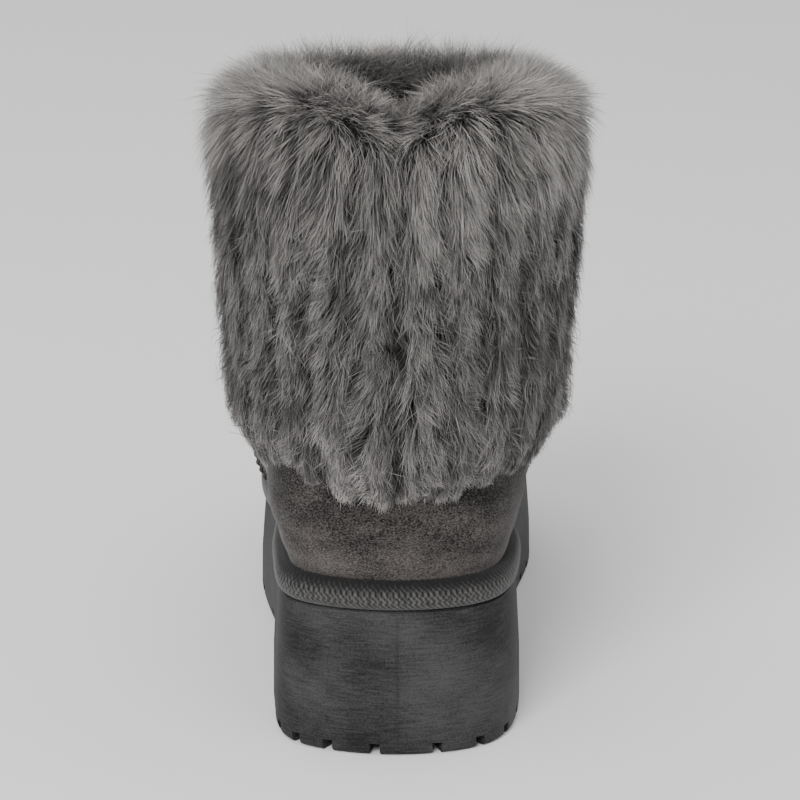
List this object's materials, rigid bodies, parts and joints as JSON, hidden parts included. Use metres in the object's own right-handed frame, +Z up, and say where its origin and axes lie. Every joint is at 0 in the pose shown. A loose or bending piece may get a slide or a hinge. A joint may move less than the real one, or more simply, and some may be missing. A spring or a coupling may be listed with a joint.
{
  "type": "snow boot",
  "caption": "Left winter boot with a deep fur shaft rolled over its collar, a suede foot with raised side seams, woven tape at the joint and a thick lugged platform sole.",
  "frame": {"origin": "on the floor under the centre of the heel, on the heel's flat underside", "axes": "+Z up, +Y from the heel to the toe, +X to the inner side of this left foot"},
  "size_m": [0.1257, 0.2854, 0.2244],
  "materials": {
    "sole": "matte moulded foam",
    "tape": "woven herringbone tape",
    "suede": "suede nap",
    "fleece": "short wool pile",
    "fur": "deep soft fur"
  },
  "bodies": {
    "root": {"sole": "sole", "welt_tape": "tape", "upper": "suede", "insole": "fleece", "fur_shaft": "fur"}
  },
  "joints": []
}
